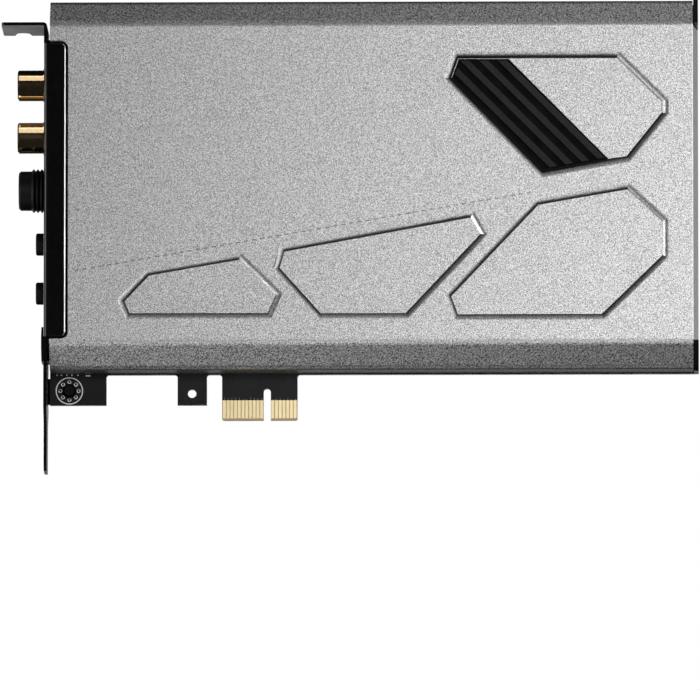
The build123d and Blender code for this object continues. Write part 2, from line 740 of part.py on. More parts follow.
# Fasteners: pan-head screws with a cross recess, and hexagon stand-offs
def screw(length, sizes):
    shank_r, head_r, top_r, head_h = sizes
    points = (
        (0, -length),
        (shank_r, -length),
        (shank_r, 0),
        (head_r, 0),
        (head_r, head_h / 2),
        (top_r, head_h),
        (0, head_h),
    )
    solid = revolve(make_face(Polyline(*points, close=True)), Axis.Y)
    width, reach = [share * head_r for share in RECESS[:2]]
    depth = (head_h * (1 - RECESS[2]), head_h + 1)
    solid -= block(about(0, reach), depth, about(0, width))
    return solid - block(about(0, width), depth, about(0, reach))


def shroud_screws():
    length = BOARD_T + STANDOFF_HOLE_L - COVER_SCREW[0]
    return group(Pos(x, BACK, z) * screw(length, COVER_SCREW) for x, z in STANDOFFS)


def bracket_screws():
    length = BOARD_T + 1.5 * SHEET_T
    turn = Rot(0, 0, 180)
    return group(Pos(x, FACE, z) * turn * screw(length, EAR_SCREW) for x, z in EAR_SCREWS)


def shroud_standoffs():
    solids = []
    for at in STANDOFFS:
        bar = layer(Pos(*at) * RegularPolygon(STANDOFF_R, 6), INSIDE, FACE)
        solids.append(bar - rod_y(at, FACE - STANDOFF_HOLE_L, FACE + 1, COVER_SCREW[0] + FIT))
    return group(solids)


# Parts on the board
def package(at, size):
    solid = on_board(at, size)
    return chamfer(solid.faces().sort_by(Axis.Y)[0].edges(), CHIP_EDGE)


def packages(shares, size):
    return group(package(place(share), size) for share in shares)


def cans():
    return group(rod_y(place(share), FACE - CAN_H, FACE, CAN_R) for share in CAN_SHARES)


def op_amp_sockets():
    strips = []
    for x, z in places(OP_AMP_SHARES):
        for row in about(z, ROW_SPACING):
            strips.append(on_board((x, row), SOCKET_STRIP))
    return group(strips)


def op_amps():
    width, height, depth = OP_AMP
    base = FACE - SOCKET_STRIP[1]
    wide = ROW_SPACING + 2 * LEG_OUT
    chips = []
    for x, z in places(OP_AMP_SHARES):
        body = block(about(x, width), (base - height, base), about(z, depth))
        body = chamfer(body.faces().sort_by(Axis.Y)[0].edges(), CHIP_EDGE)
        for i in range(4):
            leg_x = x + (i - 1.5) * LEG_PITCH
            body += block(about(leg_x, LEG_W), (base - LEG_H, base), about(z, wide))
        chips.append(body)
    return group(chips)


nodes = {
    "circuit_board": circuit_board(),
    "edge_contacts_front": edge_contacts(FACE - PAD_T),
    "edge_contacts_back": edge_contacts(BACK),
    "bracket": bracket(),
    "shroud": shroud(),
    "end_cap": end_cap(),
    "light_window": light_window(),
    "light_board": light_board(),
    "light_diodes": light_diodes(),
    "phono_block": phono_block(),
    "headphone_jack": jack(
        HEADPHONE_BODY, headphone_barrel(), HEADPHONE_BORE_R, SLEEVE_L, HEADPHONE_Z
    ),
    "headphone_sleeve": sleeve(HEADPHONE_TIP, HEADPHONE_BORE_R, SLEEVE_L, HEADPHONE_Z),
    "headphone_contacts": leaves_of(
        HEADPHONE_BODY, HEADPHONE_BORE_R, HEADPHONE_Z, HEADPHONE_LEAVES
    ),
    "optical_port": optical_port(),
    "optical_emitter": optical_emitter(),
    "shroud_standoffs": shroud_standoffs(),
    "shroud_screws": shroud_screws(),
    "bracket_screws": bracket_screws(),
    "clock_oscillators": packages(OSCILLATOR_SHARES, OSCILLATOR),
    "power_inductors": packages(INDUCTOR_SHARES, INDUCTOR),
    "voltage_regulators": packages(REGULATOR_SHARES, REGULATOR),
    "output_relays": packages(RELAY_SHARES, RELAY),
    "film_capacitors": packages(FILM_SHARES, FILM),
    "electrolytic_capacitors": cans(),
    "op_amp_sockets": op_amp_sockets(),
    "op_amps": op_amps(),
}
for name, z in zip(("upper", "lower"), PHONO_Z):
    nodes["phono_shell_" + name] = phono_shell(z)
    nodes["phono_insulator_" + name] = phono_insulator(z)
    nodes["phono_contact_" + name] = phono_contact(z)
for name, z in SMALL_Z.items():
    nodes[name + "_jack"] = jack(SMALL_BODY, small_barrel(), SMALL_BORE_R, SMALL_SLEEVE_L, z)
    nodes[name + "_sleeve"] = sleeve(SMALL_TIP, SMALL_BORE_R, SMALL_SLEEVE_L, z)
    nodes[name + "_contacts"] = leaves_of(SMALL_BODY, SMALL_BORE_R, z, SMALL_LEAVES)
for name, size in CHIPS.items():
    nodes[name] = package(place(CHIP_SHARES[name]), size)

os.makedirs("parts", exist_ok=True)
for name, shape in nodes.items():
    export_step(shape, f"parts/{name}.step")
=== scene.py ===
# %% [markdown]
# # A sound card in Blender
# The card arrives from CAD as a fixed frame: every piece already has its true size and
# place, in metres. This lesson gives those pieces their finishes, adds the print, the
# plated holes and the solder that are too fine for CAD, and sets up a camera and lights.
# Nothing is moved to fit: a new piece reads its place from the boxes of the CAD pieces.

# %% Load the frame
import math

import bmesh
import bpy
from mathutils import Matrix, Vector


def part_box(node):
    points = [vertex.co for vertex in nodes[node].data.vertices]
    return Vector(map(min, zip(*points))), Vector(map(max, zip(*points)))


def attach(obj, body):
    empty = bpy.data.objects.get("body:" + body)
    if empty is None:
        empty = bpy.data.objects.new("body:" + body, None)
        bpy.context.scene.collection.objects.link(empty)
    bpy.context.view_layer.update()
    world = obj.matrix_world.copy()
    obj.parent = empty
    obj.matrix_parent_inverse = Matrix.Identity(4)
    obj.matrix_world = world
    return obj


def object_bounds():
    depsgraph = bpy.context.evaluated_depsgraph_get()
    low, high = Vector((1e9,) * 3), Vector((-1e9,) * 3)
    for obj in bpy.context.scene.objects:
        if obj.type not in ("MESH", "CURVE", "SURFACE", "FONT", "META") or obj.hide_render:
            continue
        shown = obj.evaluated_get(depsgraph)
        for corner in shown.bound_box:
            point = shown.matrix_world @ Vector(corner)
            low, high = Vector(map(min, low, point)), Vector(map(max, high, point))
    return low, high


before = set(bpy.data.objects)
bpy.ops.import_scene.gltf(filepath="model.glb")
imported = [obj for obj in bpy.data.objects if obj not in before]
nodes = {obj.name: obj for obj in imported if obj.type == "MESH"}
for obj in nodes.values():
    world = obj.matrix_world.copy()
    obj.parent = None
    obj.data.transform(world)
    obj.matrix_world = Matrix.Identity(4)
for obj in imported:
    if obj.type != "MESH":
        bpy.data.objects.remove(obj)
cad_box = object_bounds()
MM = 0.001
scene = bpy.context.scene
print("CAD pieces:", len(nodes), "box in mm:", [[round(c / MM, 1) for c in p] for p in cad_box])

# %% [markdown]
# ## The camera
# The photograph was taken with a long lens from a little below the card, almost square
# to its cover: the undersides of the tab and of the sockets show, and the far edges
# hardly shrink. So the camera stands five metres away and looks up by a few degrees. A wide
# lens close by could frame the card as well, but its edges would splay. The lens follows
# from the width of board that the picture has to hold.

# %% Camera
IMAGE_W, IMAGE_H = 700, 690
VIEW_WIDTH = 188.17 * MM
VIEW_MIDDLE = Vector((22.22, 0.0, 20.5)) * MM
DISTANCE = 5.0
LOOK_UP = math.radians(7.6)
FROM_RIGHT = math.radians(1.0)

camera_data = bpy.data.cameras.new("camera")
camera = bpy.data.objects.new("camera", camera_data)
scene.collection.objects.link(camera)
camera_data.lens = camera_data.sensor_width * DISTANCE / VIEW_WIDTH
camera.rotation_euler = (math.radians(90) + LOOK_UP, 0, FROM_RIGHT)
camera.location = VIEW_MIDDLE + camera.rotation_euler.to_matrix() @ Vector((0, 0, DISTANCE))
scene.camera = camera
view_height = VIEW_WIDTH * IMAGE_H / IMAGE_W
print("lens in mm:", round(camera_data.lens), "height of view in mm:", round(view_height / MM))

# %% [markdown]
# ## Floor and backdrop
# The floor is one pale sheet under the bracket's tail. The camera is lower than that, so
# the sheet is finished on its upper side only: seen from below it lets the view through.
# A solid slab would hide the card, and no floor at all would leave other views without a
# ground. It casts no shadow, so the soft light from the front reaches the card's underside.

# %% Floor
FLOOR_REACH = 2.5
FLOOR_GREYS = (0.80, 0.86)
FLOOR_ROUGHNESS = 0.7
CLOUD_SCALE = 9.0

floor_z = cad_box[0].z
signs = ((-1, -1), (1, -1), (1, 1), (-1, 1))
corners = [(x * FLOOR_REACH, y * FLOOR_REACH, floor_z) for x, y in signs]
floor_mesh = bpy.data.meshes.new("floor")
floor_mesh.from_pydata(corners, [], [(0, 1, 2, 3)])
floor = bpy.data.objects.new("floor", floor_mesh)
scene.collection.objects.link(floor)
floor.visible_shadow = False
floor.visible_glossy = False
floor.visible_diffuse = False

paper = bpy.data.materials.new("floor_paper")
paper.use_nodes = True
tree = paper.node_tree
matte = tree.nodes["Principled BSDF"]
matte.inputs["Roughness"].default_value = FLOOR_ROUGHNESS
noise = tree.nodes.new("ShaderNodeTexNoise")
noise.inputs["Scale"].default_value = CLOUD_SCALE
shade = tree.nodes.new("ShaderNodeValToRGB")
for element, level in zip(shade.color_ramp.elements, FLOOR_GREYS):
    element.color = (level, level, level, 1)
side = tree.nodes.new("ShaderNodeNewGeometry")
clear = tree.nodes.new("ShaderNodeBsdfTransparent")
mix = tree.nodes.new("ShaderNodeMixShader")
coords = tree.nodes.new("ShaderNodeTexCoord")
tree.links.new(coords.outputs["Object"], noise.inputs["Vector"])
tree.links.new(noise.outputs["Fac"], shade.inputs["Fac"])
tree.links.new(shade.outputs["Color"], matte.inputs["Base Color"])
tree.links.new(side.outputs["Backfacing"], mix.inputs["Fac"])
tree.links.new(matte.outputs["BSDF"], mix.inputs[1])
tree.links.new(clear.outputs["BSDF"], mix.inputs[2])
tree.links.new(mix.outputs["Shader"], tree.nodes["Material Output"].inputs["Surface"])
floor_mesh.materials.append(paper)
print("floor at z in mm:", round(floor_z / MM, 2))

# %% [markdown]
# ## Room and light
# Blasted metal shows the light around it as broad, soft shades. In the photograph the
# flat front is bright, more so to the right, while the bevels above and below are dark.
# So the key light stands in front, a little to the right, in a dim room. Cards to the left
# pick out the pocket walls that face them, and weaker ones above and below give each
# bevel its own shade. Three fills carry the shade softly round the cover's bends. An even,
# bright room would wash the bevels and pockets out.
# Light linking keeps apart what one lamp can't serve: the floor has a light of its own, the
# black bracket stays out of the key light, the gold gets a highlight from above, and the
# back of the board has a softbox. The camera alone sees white behind the card.

# %% Room
ROOM_STRENGTH, BACKDROP_STRENGTH = 0.015, 1.0

world = bpy.data.worlds.new("studio")
scene.world = world
world.use_nodes = True
tree = world.node_tree
tree.nodes.clear()
ray = tree.nodes.new("ShaderNodeLightPath")
mix = tree.nodes.new("ShaderNodeMixShader")
out = tree.nodes.new("ShaderNodeOutputWorld")
tree.links.new(ray.outputs["Is Camera Ray"], mix.inputs["Fac"])
for socket, strength in ((1, ROOM_STRENGTH), (2, BACKDROP_STRENGTH)):
    glow = tree.nodes.new("ShaderNodeBackground")
    glow.inputs["Color"].default_value = (1, 1, 1, 1)
    glow.inputs["Strength"].default_value = strength
    tree.links.new(glow.outputs["Background"], mix.inputs[socket])
tree.links.new(mix.outputs["Shader"], out.inputs["Surface"])
scene.view_settings.view_transform = "Standard"
print("room:", ROOM_STRENGTH, "backdrop:", BACKDROP_STRENGTH)

# %% Lights
CARD_MIDDLE = (cad_box[0] + cad_box[1]) / 2


def lit_group(name, objects, state):
    """A collection that a light includes or excludes."""
    group = bpy.data.collections.new(name)
    for item in objects:
        group.objects.link(item)
    for member in group.collection_objects:
        member.light_linking.link_state = state
    return group


def soft_light(name, place, size, power, lights):
    """A rectangular light for one group, aimed at the middle of the card."""
    data = bpy.data.lights.new(name, "AREA")
    data.shape = "RECTANGLE"
    data.size, data.size_y = size
    data.energy = power
    light = bpy.data.objects.new(name, data)
    light.location = CARD_MIDDLE + Vector(place)
    light.rotation_mode = "QUATERNION"
    light.rotation_quaternion = (-Vector(place)).to_track_quat("-Z", "Y")
    light.visible_camera = False
    light.light_linking.receiver_collection = lights
    scene.collection.objects.link(light)


bracket, cover = nodes["bracket"], nodes["shroud"]
gold = [nodes["phono_shell_upper"], nodes["phono_shell_lower"]]
card_only = lit_group("card_only", [floor], "EXCLUDE")
flange_shaded = lit_group("flange_shaded", [floor, bracket], "EXCLUDE")
gold_only = lit_group("gold_only", gold, "INCLUDE")
gold_shaded = lit_group("gold_shaded", [floor, *gold], "EXCLUDE")
board_side = lit_group("board_side", [floor, bracket, cover, *gold], "EXCLUDE")
floor_only = lit_group("floor_only", [floor], "INCLUDE")
cover_only = lit_group("cover_only", [cover], "INCLUDE")

# Name, place from the card's middle in metres, size, power, group.
for row in (
    ("front_softbox", (0.20, -0.95, 0.09), (0.40, 0.40), 1.90, flange_shaded),
    ("right_softbox", (0.60, -0.45, 0.05), (0.40, 0.40), 1.5, card_only),
    ("low_left_card", (-0.65, -0.18, -0.28), (0.30, 0.20), 2.0, card_only),
    ("left_card", (-0.75, -0.25, 0.0), (0.40, 0.40), 2.7, card_only),
    ("below_card", (-0.15, -0.33, -0.57), (0.40, 0.30), 0.31, gold_shaded),
    ("top_card", (0.10, -0.10, 0.70), (0.60, 0.30), 0.28, card_only),
    ("right_strip", (0.95, -0.03, 0.12), (0.30, 0.10), 0.8, card_only),
    ("back_panel", (0.30, 1.20, 0.0), (1.60, 0.60), 1.8, card_only),
    ("back_left_fill", (-0.60, 0.80, 0.10), (0.50, 0.50), 2.0, card_only),
    ("back_softbox", (0.0, 1.0, -0.02), (0.60, 0.40), 2.0, board_side),
    ("over_gold", (-0.09, -0.15, 0.30), (0.25, 0.30), 0.25, gold_only),
    ("lower_fill", (0.20, -0.83, -0.52), (0.60, 0.50), 1.5, cover_only),
    ("upper_fill", (0.20, -0.62, 0.62), (0.60, 0.40), 0.40, cover_only),
    ("under_fill", (0.10, 0.16, -0.60), (0.60, 0.30), 0.17, cover_only),
    ("floor_wash", (0.0, 0.0, 2.0), (5.0, 5.0), 100.0, floor_only),
):
    soft_light(*row)

# %% [markdown]
# ## Helpers for finishes
# Every finish here starts from the same idea: a main colour that varies a little, a gloss
# that varies with it, and a fine bump. The textures read Object coordinates, which on
# these pieces are plain metres, so the size of a grain can be given in millimetres.
# Building each node tree by hand in the editor would work too, but a helper keeps the
# twenty-five finishes alike and lets each state only what is its own.

# %% Node helpers
ASKEW = (0.5, 0.3, 0.7)
GRAIN_DETAIL, PATCH_DETAIL = 2.0, 3.0


def add(material, kind, settings=None, **inputs):
    """A shader node with its settings and input values."""
    node = material.node_tree.nodes.new(kind)
    for name, value in (settings or {}).items():
        setattr(node, name, value)
    for name, value in inputs.items():
        node.inputs[name.replace("_", " ")].default_value = value
    return node


def join(material, source, target):
    material.node_tree.links.new(source, target)


def feed(material, value, target):
    """Gives an input a plain value, or the output of another node."""
    if isinstance(value, bpy.types.NodeSocket):
        join(material, value, target)
    else:
        target.default_value = value


def shader_of(material):
    return material.node_tree.nodes["Principled BSDF"]


def source_of(material, name):
    """The output that feeds one of the shader's inputs so far."""
    return shader_of(material).inputs[name].links[0].from_socket


def to_shader(material, source, name):
    join(material, source, shader_of(material).inputs[name])


def place_of(material, scale=(1, 1, 1), turn=(0, 0, 0)):
    """Object coordinates, stretched and turned where a pattern needs it."""
    coords = add(material, "ShaderNodeTexCoord")
    mapping = add(material, "ShaderNodeMapping", Scale=scale, Rotation=turn)
    join(material, coords.outputs["Object"], mapping.inputs["Vector"])
    return mapping.outputs["Vector"]


def noise_of(material, size_mm, detail=GRAIN_DETAIL, scale=(1, 1, 1)):
    """A cloudy texture whose patches are about this many millimetres across."""
    noise = add(material, "ShaderNodeTexNoise", Scale=1.0 / (size_mm * MM), Detail=detail)
    join(material, place_of(material, scale, ASKEW), noise.inputs["Vector"])
    return noise.outputs["Fac"]


def grey(level):
    return (level, level, level)


def ramp(material, source, low, high, ends=(0.35, 0.65)):
    """Turns a texture into colours between two ends."""
    node = add(material, "ShaderNodeValToRGB")
    for element, colour, at in zip(node.color_ramp.elements, (low, high), ends):
        element.color = (*colour, 1)
        element.position = at
    join(material, source, node.inputs["Fac"])
    return node.outputs["Color"]


def fade(material, source, start, end, low=0.0, high=1.0):
    """Goes from low to high while a number goes from start to end."""
    node = add(
        material, "ShaderNodeMapRange", From_Min=start, From_Max=end, To_Min=low, To_Max=high
    )
    join(material, source, node.inputs["Value"])
    return node.outputs["Result"]


print("noise detail of a grain and of a patch:", GRAIN_DETAIL, PATCH_DETAIL)

# %% Finish helpers
PATCH_TO_GRAIN = 12
PATCH_ENDS = (0.3, 0.7)
GRAIN_DEPTH = 0.02 * MM


def finish(name, colours, gloss, grain_mm, bump, metal=0.0, shine=0.5, stretch=(1, 1, 1)):
    """A material with a varied colour, a varied gloss and a fine grain."""
    material = bpy.data.materials.new(name)
    material.use_nodes = True
    inputs = shader_of(material).inputs
    inputs["Metallic"].default_value = metal
    inputs["Specular IOR Level"].default_value = shine
    grain = noise_of(material, grain_mm, GRAIN_DETAIL, stretch)
    patch = noise_of(material, PATCH_TO_GRAIN * grain_mm, PATCH_DETAIL, stretch)
    to_shader(material, ramp(material, grain, *colours), "Base Color")
    to_shader(material, fade(material, patch, *PATCH_ENDS, *gloss), "Roughness")
    relief = add(material, "ShaderNodeBump", Strength=bump, Distance=GRAIN_DEPTH)
    join(material, grain, relief.inputs["Height"])
    to_shader(material, relief.outputs["Normal"], "Normal")
    return material


def dress(material, *names):
    """Gives CAD pieces their finish."""
    for name in names:
        for slot in nodes[name].material_slots:
            slot.material = material
    print(material.name, "->", ", ".join(names))


print("a patch of gloss is", PATCH_TO_GRAIN, "grains across")

# %% [markdown]
# ## Helpers for masks
# Some finishes change from place to place: painted shade on a crease and a rim, a painted
# highlight along a fold, a bare edge. A mask says where, with a number that is one inside
# and zero outside. Comparing coordinates makes masks, multiplying joins them, and a blend
# lays a second colour over the first. A painted image could do the same, but it would need
# unwrapped faces and a fixed resolution.

# %% Mask helpers
def calc(material, operation, *values):
    """One sum or comparison of numbers and outputs of other nodes."""
    node = add(material, "ShaderNodeMath", {"operation": operation})
    for value, target in zip(values, node.inputs):
        feed(material, value, target)
    return node.outputs[0]


def all_of(material, first, *others):
    """The product of several masks: one where all of them are one."""
    for other in others:
        first = calc(material, "MULTIPLY", first, other)
    return first


def above(material, source, limit):
    return calc(material, "GREATER_THAN", source, limit)


def below(material, source, limit):
    return calc(material, "LESS_THAN", source, limit)


def between(material, source, low, high):
    return all_of(material, above(material, source, low), below(material, source, high))


def axes_of(material, vector):
    """The X, Y and Z of a vector, each as an output."""
    node = add(material, "ShaderNodeSeparateXYZ")
    join(material, vector, node.inputs["Vector"])
    return node.outputs


def facing_of(material):
    """The X, Y and Z of the direction that the surface faces."""
    return axes_of(material, add(material, "ShaderNodeNewGeometry").outputs["Normal"])


def along_line(material, place, direction, origin):
    """Distance in the X-Z plane along a direction, from an origin."""
    steps = [
        calc(material, "MULTIPLY", calc(material, "SUBTRACT", place[axis], start), share)
        for axis, share, start in zip("XZ", direction, origin)
    ]
    return calc(material, "ADD", *steps)


def blend(material, factor, first, second, kind="MIX"):
    """Lays a second colour over the first where a mask is one."""
    node = add(material, "ShaderNodeMix", {"data_type": "RGBA", "blend_type": kind})
    join(material, factor, node.inputs["Factor"])
    targets = [s for s in node.inputs if s.type == "RGBA"]
    for value, target in zip((first, second), targets):
        feed(material, (*value, 1) if isinstance(value, tuple) else value, target)
    return [s for s in node.outputs if s.type == "RGBA"][0]


print("masks come from calc, above, below and between")

# %% [markdown]
# ## The cover: sand-blasted aluminium
# The cover is a pressed aluminium sheet, blasted with fine grit and left clear. Blasting
# leaves pits of a few tenths of a millimetre, so the metal looks grainy rather than
# shiny, and its highlights are wide. The grain drives the colour and the bump together,
# because a pit is both darker and lower.
# Masks do the rest. A faint crease runs up the front in line with the tops of the pockets:
# a distance to that line, cut into short dashes, darkens it with painted shade. Steep pocket
# walls get painted shade too, apart from the lit ones that face left or lower left. The
# bevels show a coarser, stronger grain, a painted highlight runs along the crest of the end
# flap's fold, and the cut edge of the sheet beside the window is painted black as shade.

# %% Cover grain
blasted = finish(
    "blasted_aluminium", (grey(0.20), grey(0.82), (0.38, 0.62)),
    gloss=(0.39, 0.41), grain_mm=0.24, bump=0.7, metal=1.0,
)
shader_of(blasted).distribution = "GGX"
place, facing = axes_of(blasted, place_of(blasted)), facing_of(blasted)
cover_low, cover_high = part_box("shroud")
print("cover in mm:", [round(c / MM, 1) for c in cover_high - cover_low])

# %% Painted shade on the crease and the pocket walls
CREASE_FROM, CREASE_TO = Vector((-52.0, 38.7)) * MM, Vector((71.2, 59.8)) * MM
CREASE_HALF = 0.16 * MM
CREASE_DASH, CREASE_GAP = 1.1 * MM, 0.45
CREASE_SHARE = 0.7
POCKET_MARGIN, FRONT_SKIN = 11.0 * MM, 0.1 * MM
# Ends of a fade over a part of the normal: Y, X and Z.
STEEP, TO_THE_LEFT, NOT_UPWARD = (-0.95, -0.65), (-0.2, -0.5), (0.1, 0.4, 1.0, 0.0)

crease_length = (CREASE_TO - CREASE_FROM).length
along = (CREASE_TO - CREASE_FROM).normalized()
run = along_line(blasted, place, along, CREASE_FROM)
off = along_line(blasted, place, (-along.y, along.x), CREASE_FROM)
dashes = calc(blasted, "PINGPONG", run, CREASE_DASH)
# Painted shade: the crease is a dashed dark line in the colour.
crease = all_of(
    blasted,
    below(blasted, calc(blasted, "ABSOLUTE", off), CREASE_HALF),
    between(blasted, run, 0.0, crease_length),
    above(blasted, dashes, CREASE_GAP * CREASE_DASH),
)
# Walls that face left or lower left are lit bright, so they are left without painted shade.
bright_wall = all_of(
    blasted,
    fade(blasted, facing["X"], *TO_THE_LEFT),
    fade(blasted, facing["Z"], *NOT_UPWARD),
)
# Painted shade: steep pocket walls are darkened in the colour.
wall = all_of(
    blasted,
    fade(blasted, facing["Y"], *STEEP),
    calc(blasted, "SUBTRACT", 1.0, bright_wall),
    above(blasted, place["Y"], cover_low.y + FRONT_SKIN),
    between(blasted, place["X"], cover_low.x + POCKET_MARGIN, cover_high.x - POCKET_MARGIN / 2),
    between(blasted, place["Z"], cover_low.z + POCKET_MARGIN, cover_high.z - POCKET_MARGIN),
)
# The crease and the shaded walls make one mask of painted shade.
painted_shade = calc(blasted, "MAXIMUM", calc(blasted, "MULTIPLY", crease, CREASE_SHARE), wall)
print("crease in mm:", round(crease_length / MM, 1))

# %% Bevels and a painted highlight on the fold
BEVEL_REACH = 8.5 * MM
LEANING = (0.15, 0.5)
SPARKLE_MM = 0.36
FLAP_LEAN, FLAP_INSET = 1.4 * MM, 7.3 * MM
CREST_LEFT, CREST_RIGHT = 0.14 * MM, 0.10 * MM

bevel = calc(
    blasted, "MAXIMUM",
    below(blasted, place["Z"], cover_low.z + BEVEL_REACH),
    above(blasted, place["Z"], cover_high.z - BEVEL_REACH),
)
leaning = fade(blasted, calc(blasted, "ABSOLUTE", facing["Z"]), *LEANING)
sparkle = ramp(blasted, noise_of(blasted, SPARKLE_MM), grey(0.09), grey(0.93), (0.36, 0.64))
fold = cover_high.x - FLAP_LEAN
# Painted highlight: a thin bright line in the colour along the crest of the flap's fold.
crest = all_of(
    blasted,
    between(blasted, place["X"], fold - CREST_LEFT, fold + CREST_RIGHT),
    between(blasted, place["Z"], cover_low.z + FLAP_INSET, cover_high.z - FLAP_INSET),
)
print("fold at x in mm:", round(fold / MM, 2))

# %% Painted shade on the window's rim, and the cover's colour
WINDOW_LEFT, WINDOW_FOOT, WINDOW_RIGHT = (
    Vector(p) * MM for p in ((49.8, 91.0), (74.4, 65.8), (91.9, 68.9))
)
CUTOUT_DEPTH = 1.36 * MM
RIM_REACH, RIM_LAP = 1.0 * MM, 0.05 * MM
# Colours of the painted highlight on the fold and of the painted shade on walls and rim.
PAINTED_HIGHLIGHT, SHADED, RIM_SHADE = grey(0.9), grey(0.16), grey(0.02)

window_low, window_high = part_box("light_window")
sides = []
for start, end in ((WINDOW_LEFT, WINDOW_FOOT), (WINDOW_FOOT, WINDOW_RIGHT)):
    way = (end - start).normalized()
    off = along_line(blasted, place, (way.y, -way.x), start)
    sides.append(above(blasted, off, -RIM_LAP))
# Painted shade: the cut edge of the sheet beside the window is blackened in the colour.
rim = all_of(
    blasted,
    above(blasted, place["Y"], cover_low.y + CUTOUT_DEPTH),
    between(blasted, place["X"], window_low.x - RIM_REACH, window_high.x + RIM_REACH),
    between(blasted, place["Z"], window_low.z - RIM_REACH, window_high.z + RIM_REACH),
    calc(blasted, "MAXIMUM", *sides),
)
colour = source_of(blasted, "Base Color")
colour = blend(blasted, all_of(blasted, bevel, leaning), colour, sparkle)
# The painted highlight along the crest of the fold.
colour = blend(blasted, crest, colour, PAINTED_HIGHLIGHT)
# Painted shade on the crease and the steep walls.
colour = blend(blasted, painted_shade, colour, SHADED, "MULTIPLY")
# Painted shade on the window's rim.
colour = blend(blasted, rim, colour, RIM_SHADE)
to_shader(blasted, colour, "Base Color")
dress(blasted, "shroud")

# %% [markdown]
# ## The bracket: black paint
# The slot bracket is folded steel with a thin semi-gloss black coat. Paint like this has
# a slight orange peel, so its bump is coarser and gentler than the blasted metal's. Where
# the surface faces right and forward at once, which only a narrow edge does, the steel is
# bare. The direction of the surface is enough to pick that edge out.

# %% Bracket finish
EDGE_LEAN = 0.4
BARE_STEEL = grey(0.80)

paint = finish(
    "black_paint", ((0.0040, 0.0040, 0.0042), (0.0065, 0.0065, 0.0068)),
    gloss=(0.26, 0.34), grain_mm=0.9, bump=0.12, shine=0.3,
)
facing = facing_of(paint)
edge = all_of(
    paint, above(paint, facing["X"], EDGE_LEAN), below(paint, facing["Y"], -EDGE_LEAN)
)
to_shader(paint, blend(paint, edge, source_of(paint, "Base Color"), BARE_STEEL), "Base Color")
to_shader(paint, edge, "Metallic")
dress(paint, "bracket")

# %% [markdown]
# ## The board: black solder mask over copper
# Under the black mask lies copper, and its edges show as faint steps: wide areas and
# bundles of fine tracks. A Voronoi texture with Chebychev distance has cells with straight
# and slanted borders, much as copper areas have, and half of its cells count as copper.
# Bands of a Wave texture, kept to patches by a noise, give the tracks. Both lift the
# surface, and make it a little lighter and duller. At the tip of the tongue the mask ends
# and bare fibre shows. Drawing every track as geometry would cost far more faces than its
# look is worth.

# %% Copper under the mask
FLAT = (1, 0, 1)
POUR_MM, POUR_SHARE = 9.0, 0.5
TRACK_PITCH_MM, BANDS_PER_PITCH, TRACK_LEVEL = 0.55, 0.32, 0.62
PATCH_MM, PATCH_LEVEL = 16.0, 0.56

board = finish(
    "solder_mask", ((0.0022, 0.0023, 0.0028), (0.0036, 0.0038, 0.0044)),
    gloss=(0.37, 0.42), grain_mm=0.6, bump=0.10, shine=0.25,
)
cells = add(
    board, "ShaderNodeTexVoronoi", {"distance": "CHEBYCHEV"}, Scale=1 / (POUR_MM * MM)
)
bands = add(
    board, "ShaderNodeTexWave", {"bands_direction": "DIAGONAL"},
    Scale=BANDS_PER_PITCH / (TRACK_PITCH_MM * MM),
)
for texture in (cells, bands):
    join(board, place_of(board, FLAT), texture.inputs["Vector"])
shares = add(board, "ShaderNodeSeparateColor")
join(board, cells.outputs["Color"], shares.inputs["Color"])
tracks = all_of(
    board,
    above(board, bands.outputs["Fac"], TRACK_LEVEL),
    above(board, noise_of(board, PATCH_MM, 0.0, FLAT), PATCH_LEVEL),
)
copper = calc(board, "MAXIMUM", above(board, shares.outputs["Red"], POUR_SHARE), tracks)
print("copper areas of", POUR_MM, "mm and tracks at", TRACK_PITCH_MM, "mm")

# %% Board finish
COPPER_TINT, FIBRE = (0.0075, 0.0078, 0.009), (0.62, 0.50, 0.30)
COPPER_DULLER = 0.05
TIP_MARGIN = 1.5 * MM
STEP_STRENGTH, STEP_HEIGHT = 0.5, 0.03 * MM

contacts_low, contacts_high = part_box("edge_contacts_front")
place = axes_of(board, place_of(board))
tip = all_of(
    board,
    below(board, place["Z"], contacts_high.z),
    above(board, place["X"], contacts_low.x - TIP_MARGIN),
)
colour = blend(board, copper, source_of(board, "Base Color"), COPPER_TINT)
to_shader(board, blend(board, tip, colour, FIBRE), "Base Color")
duller = calc(board, "MULTIPLY_ADD", copper, COPPER_DULLER, source_of(board, "Roughness"))
to_shader(board, duller, "Roughness")
steps = add(board, "ShaderNodeBump", Strength=STEP_STRENGTH, Distance=STEP_HEIGHT)
join(board, copper, steps.inputs["Height"])
join(board, source_of(board, "Normal"), steps.inputs["Normal"])
to_shader(board, steps.outputs["Normal"], "Normal")
dress(board, "circuit_board")

# %% [markdown]
# ## Gold
# The phono shells are polished and gold plated, so they mirror the room in bands: bright
# above, dark along the middle. The edge contacts carry the same plate over etched copper,
# which is paler, duller and brushed upwards by the slot. Two finishes from one helper, the
# second with its grain stretched along the contacts.

# %% Gold finishes
plate = finish(
    "polished_gold", ((0.78, 0.56, 0.32), (0.90, 0.67, 0.40)),
    gloss=(0.07, 0.12), grain_mm=0.8, bump=0.04, metal=1.0,
)
dress(
    plate, "phono_shell_upper", "phono_shell_lower", "phono_contact_upper", "phono_contact_lower"
)
contact = finish(
    "contact_gold", ((0.94, 0.76, 0.44), (1.00, 0.84, 0.52)),
    gloss=(0.35, 0.40), grain_mm=0.35, bump=0.15, metal=1.0, stretch=(1, 1, 0.12),
)
dress(contact, "edge_contacts_front", "edge_contacts_back")

# %% [markdown]
# ## Black plastics
# Sockets and end cap are moulded in black plastic. A mould is spark-eroded, which leaves
# a fine even grain on the part. The phono insulators are a greyer, smoother plastic.

